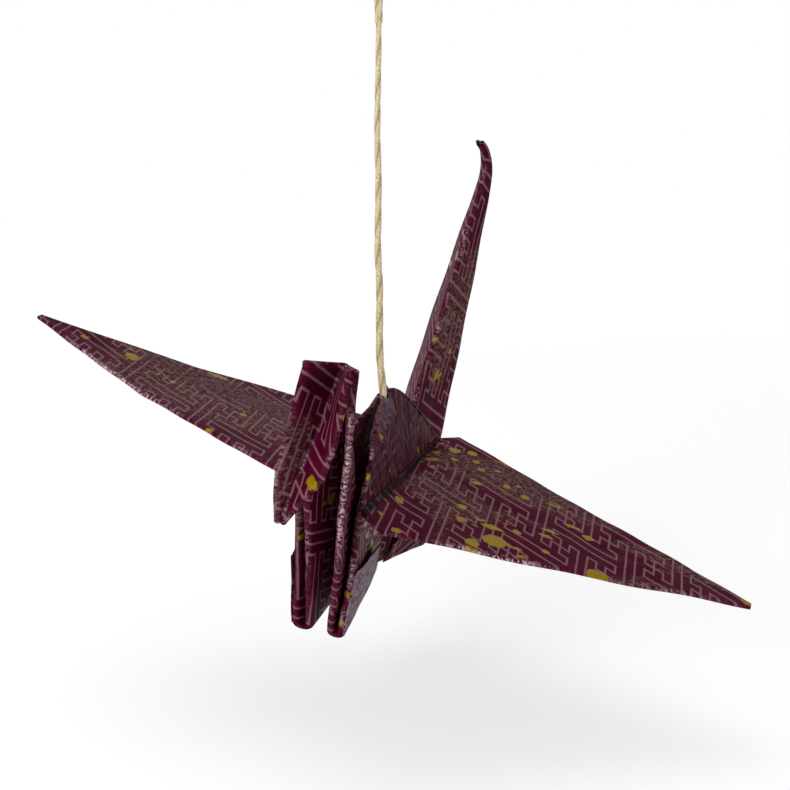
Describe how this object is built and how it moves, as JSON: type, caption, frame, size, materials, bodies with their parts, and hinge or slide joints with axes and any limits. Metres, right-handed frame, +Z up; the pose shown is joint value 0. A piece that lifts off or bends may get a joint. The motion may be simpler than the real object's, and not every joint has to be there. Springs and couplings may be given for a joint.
{
  "type": "origami crane",
  "caption": "Origami crane folded from one square of patterned paper, on a thin cord with a loop, to be hung as a decoration.",
  "frame": {"origin": "inner top of the cord's loop, where a hook or pin would carry it", "axes": "+Z up along the cord, +Y towards the tail, +X towards the crane's left wing"},
  "size_m": [0.1072, 0.098, 0.1017],
  "materials": {
    "washi_paper": "satin printed paper, maroon with a thin mauve fret, grey patches and gold blots",
    "cord_thread": "twisted khaki and gold thread"
  },
  "bodies": {
    "root": {"folded_paper": "washi_paper", "hanging_cord": "cord_thread", "stopper_knot": "cord_thread", "hanging_loop": "cord_thread"}
  },
  "joints": []
}
